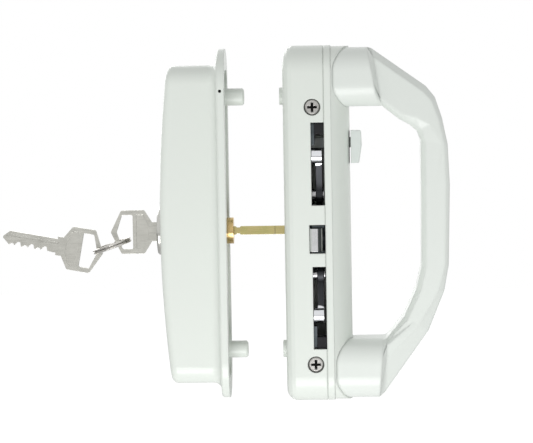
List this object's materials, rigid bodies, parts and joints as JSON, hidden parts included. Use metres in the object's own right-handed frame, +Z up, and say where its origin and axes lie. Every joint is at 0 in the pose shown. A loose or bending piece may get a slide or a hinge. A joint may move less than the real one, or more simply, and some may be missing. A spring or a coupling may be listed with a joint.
{
  "type": "sliding patio door handle",
  "caption": "Sliding patio door handle set: crowned inner plate with a faceted bail pull and thumb lever, hook latch in its edge, keyed outer pull with keys.",
  "frame": {"origin": "on the inside face of the door, half way between the two fixing screws", "axes": "+X into the room, -Y towards the latch edge, +Z up"},
  "size_m": [0.2219, 0.0436, 0.175],
  "materials": {
    "white_enamel": "white baked enamel on die-cast zinc",
    "white_button": "moulded white plastic",
    "bright_steel": "bright plated steel",
    "hook_chrome": "chromed steel",
    "zinc_sheet": "zinc-plated pressed sheet",
    "bar_steel": "blanked steel",
    "hub_zinc": "die-cast zinc",
    "bumper_rubber": "moulded black rubber",
    "pin_steel": "turned steel",
    "spring_steel": "spring wire",
    "nickel_screw": "nickel plate",
    "cylinder_brass": "turned brass",
    "yellow_zinc": "yellow-passivated zinc plate on steel",
    "key_nickel": "nickel silver",
    "ring_nickel": "nickel-plated spring wire"
  },
  "bodies": {
    "root": {"inner_housing": "white_enamel", "escutcheon_plate": "white_enamel", "bail_pull": "white_enamel", "edge_screws": "nickel_screw", "bail_screws": "nickel_screw", "lock_case": "zinc_sheet", "case_cover": "zinc_sheet", "end_bumpers": "bumper_rubber", "case_rivets": "pin_steel", "case_screws": "nickel_screw", "hook_pivots": "pin_steel", "plunger_guide": "zinc_sheet", "plunger_spring": "spring_steel", "outer_pull": "white_enamel", "cylinder_body": "cylinder_brass", "cylinder_nut": "cylinder_brass"},
    "thumb_slider": {"thumb_bar": "bar_steel", "thumb_lever": "white_button", "lower_drive_pin": "pin_steel"},
    "upper_slider": {"upper_bar": "bar_steel", "upper_drive_pin": "pin_steel"},
    "hub": {"hub_pinion": "hub_zinc"},
    "upper_latch": {"upper_hook": "hook_chrome"},
    "lower_latch": {"lower_hook": "hook_chrome"},
    "key_plug": {"cylinder_plug": "cylinder_brass", "plug_clip": "pin_steel", "tailpiece": "yellow_zinc", "inserted_key": "key_nickel"},
    "ring": {"key_ring": "ring_nickel"},
    "loose_key": {"spare_key": "key_nickel"},
    "spring_plunger": {"plunger": "bright_steel"}
  },
  "joints": [
    {"name": "thumb_slide", "type": "slide", "parent": "root", "child": "thumb_slider", "axis": [0, 0, -1], "range_m": [0, 0.01178]},
    {"name": "upper_bar_slide", "type": "slide", "parent": "root", "child": "upper_slider", "axis": [0, 0, 1], "range_m": [0, 0.01179]},
    {"name": "hub_turn", "type": "hinge", "parent": "root", "child": "hub", "pos_m": [0, 0, -0.0035], "axis": [-1, 0, 0], "range_deg": [0, 90.1]},
    {"name": "upper_hook_swing", "type": "hinge", "parent": "root", "child": "upper_latch", "pos_m": [0.017, -0.008, 0.014], "axis": [1, 0, 0], "range_deg": [0, 60.1]},
    {"name": "lower_hook_swing", "type": "hinge", "parent": "root", "child": "lower_latch", "pos_m": [0.017, -0.008, -0.025], "axis": [-1, 0, 0], "range_deg": [0, 60.1]},
    {"name": "key_turn", "type": "hinge", "parent": "root", "child": "key_plug", "pos_m": [-0.045, 0, -0.0035], "axis": [-1, 0, 0], "range_deg": [0, 90.1]},
    {"name": "ring_swing", "type": "hinge", "parent": "key_plug", "child": "ring", "pos_m": [-0.07744, 0, -0.0071], "axis": [0, -1, 0], "range_deg": [-15, 70]},
    {"name": "spare_key_swing", "type": "hinge", "parent": "ring", "child": "loose_key", "pos_m": [-0.09543, 0, -0.01322], "axis": [0, -1, 0], "range_deg": [-15, 40]},
    {"name": "plunger_press", "type": "slide", "parent": "root", "child": "spring_plunger", "axis": [0, 1, 0], "range_m": [0, 0.005], "stiffness_N_per_m": 400, "springref_m": -0.001, "deforming": ["plunger_spring"]}
  ],
  "couplings": [
    {"joint": "upper_bar_slide", "follows": "thumb_slide", "ratio": 1},
    {"joint": "hub_turn", "follows": "thumb_slide", "rad_per_m": 133.33},
    {"joint": "upper_hook_swing", "follows": "thumb_slide", "rad_per_m": 88.889},
    {"joint": "lower_hook_swing", "follows": "thumb_slide", "rad_per_m": 88.889},
    {"joint": "key_turn", "follows": "thumb_slide", "rad_per_m": 133.33}
  ]
}
